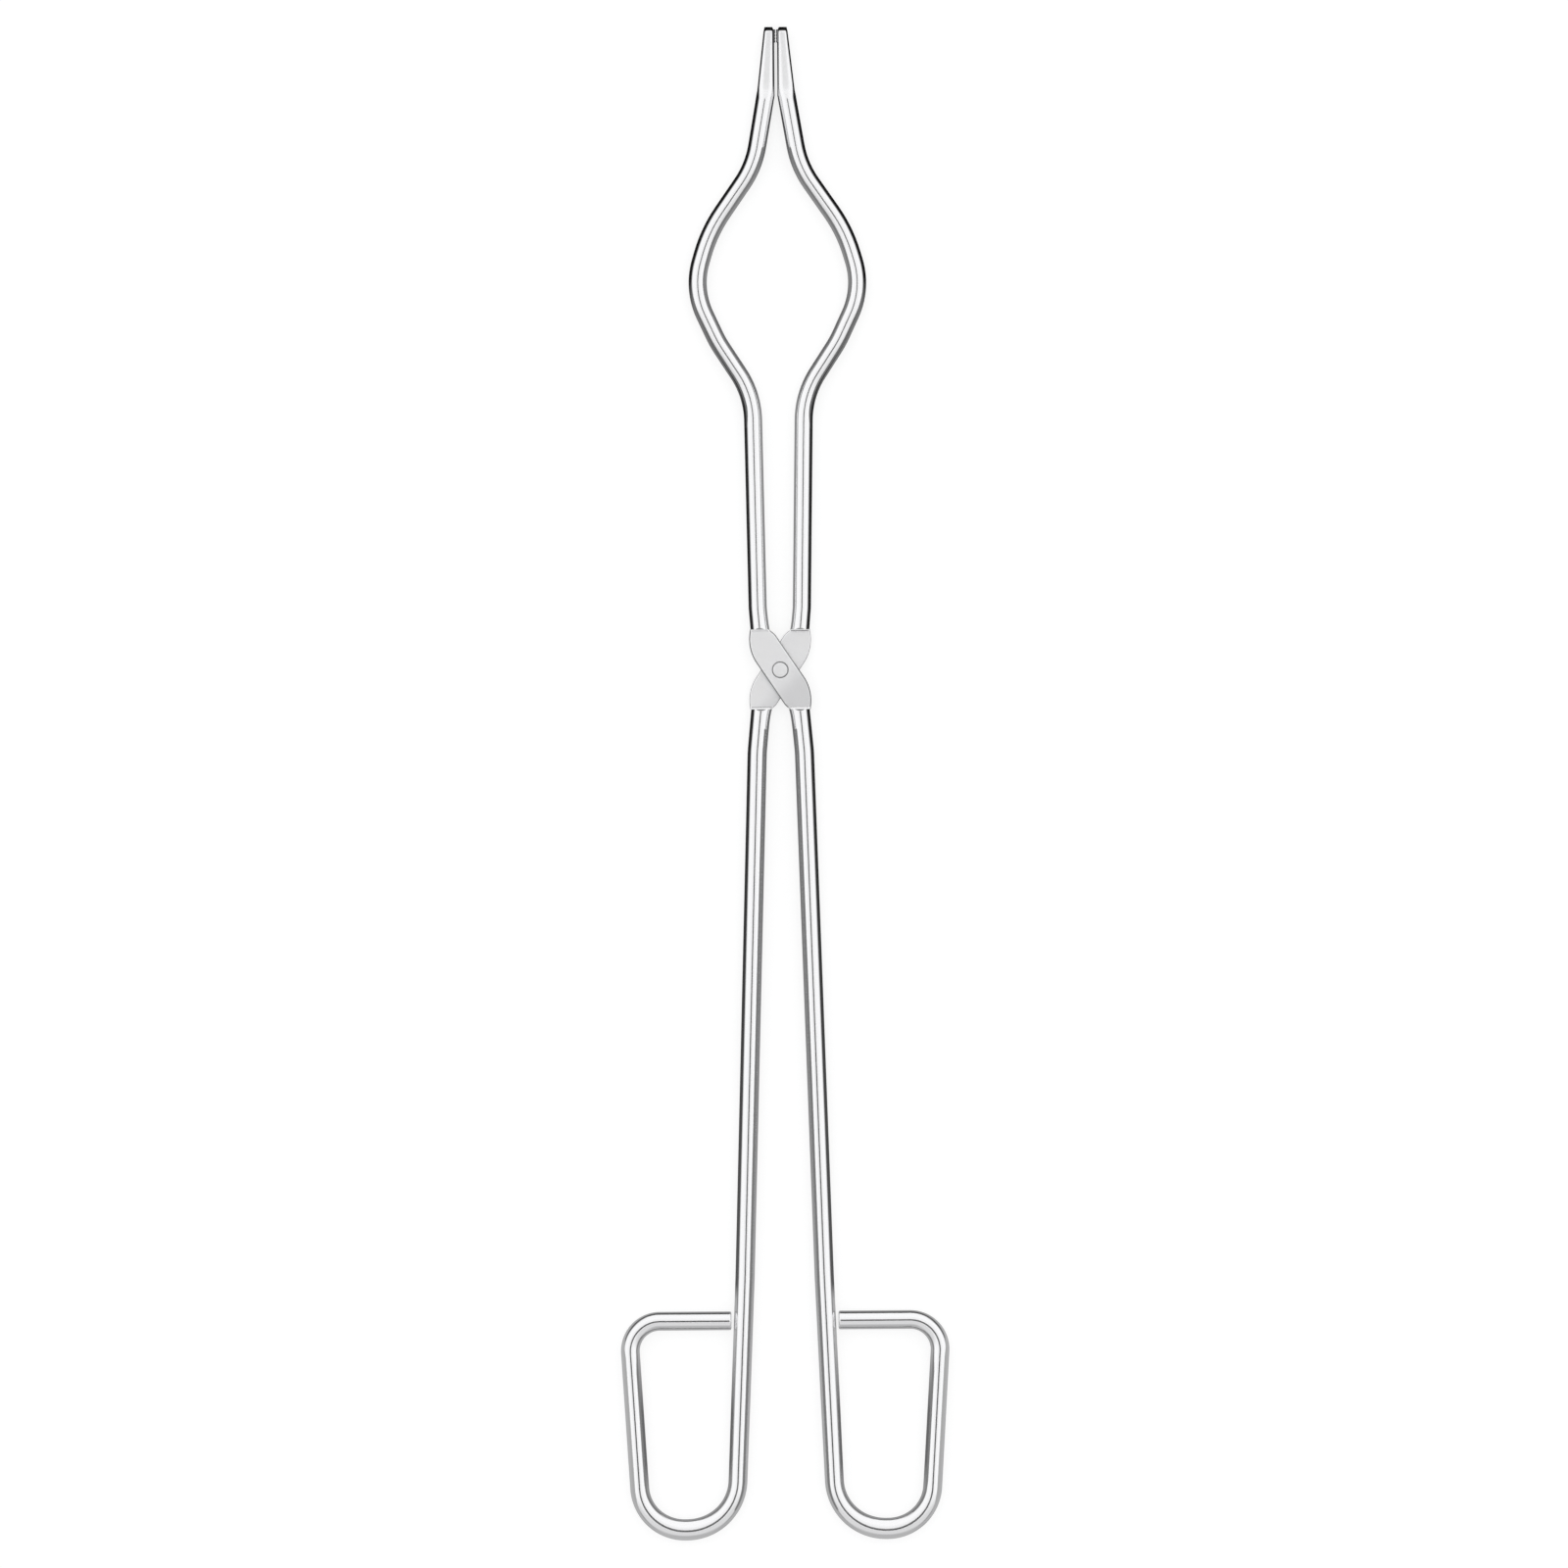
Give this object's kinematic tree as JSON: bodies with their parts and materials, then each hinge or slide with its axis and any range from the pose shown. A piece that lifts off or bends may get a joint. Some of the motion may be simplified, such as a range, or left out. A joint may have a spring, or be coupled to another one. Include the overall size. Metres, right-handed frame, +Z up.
{
  "type": "crucible tongs",
  "caption": "Long steel crucible tongs: bent rods that cross in a flat half-lap on a flush rivet, with bowed jaws, pressed grip tips and open finger loops, for lifting hot crucibles.",
  "frame": {"origin": "on the bench plane, under the middle of the closed tongs' outline; the rivet's axis is 37.5 mm from it towards the jaws", "axes": "+Y along the tongs from the finger loops to the jaw tips, +X to the right across the arms, +Z up along the rivet, away from the bench"},
  "size_m": [0.1086, 0.5001, 0.0062],
  "materials": {
    "polished_steel": "bright polished rod, satin on the pressed straps",
    "satin_steel": "satin"
  },
  "bodies": {
    "rear": {"rear_arm": "polished_steel", "pivot_rivet": "satin_steel"},
    "front": {"front_arm": "polished_steel"}
  },
  "joints": [
    {"name": "pivot", "type": "hinge", "parent": "rear", "child": "front", "pos_m": [0, 0.0375, 0.00312], "axis": [0, 0, 1], "range_deg": [0, 105]}
  ]
}
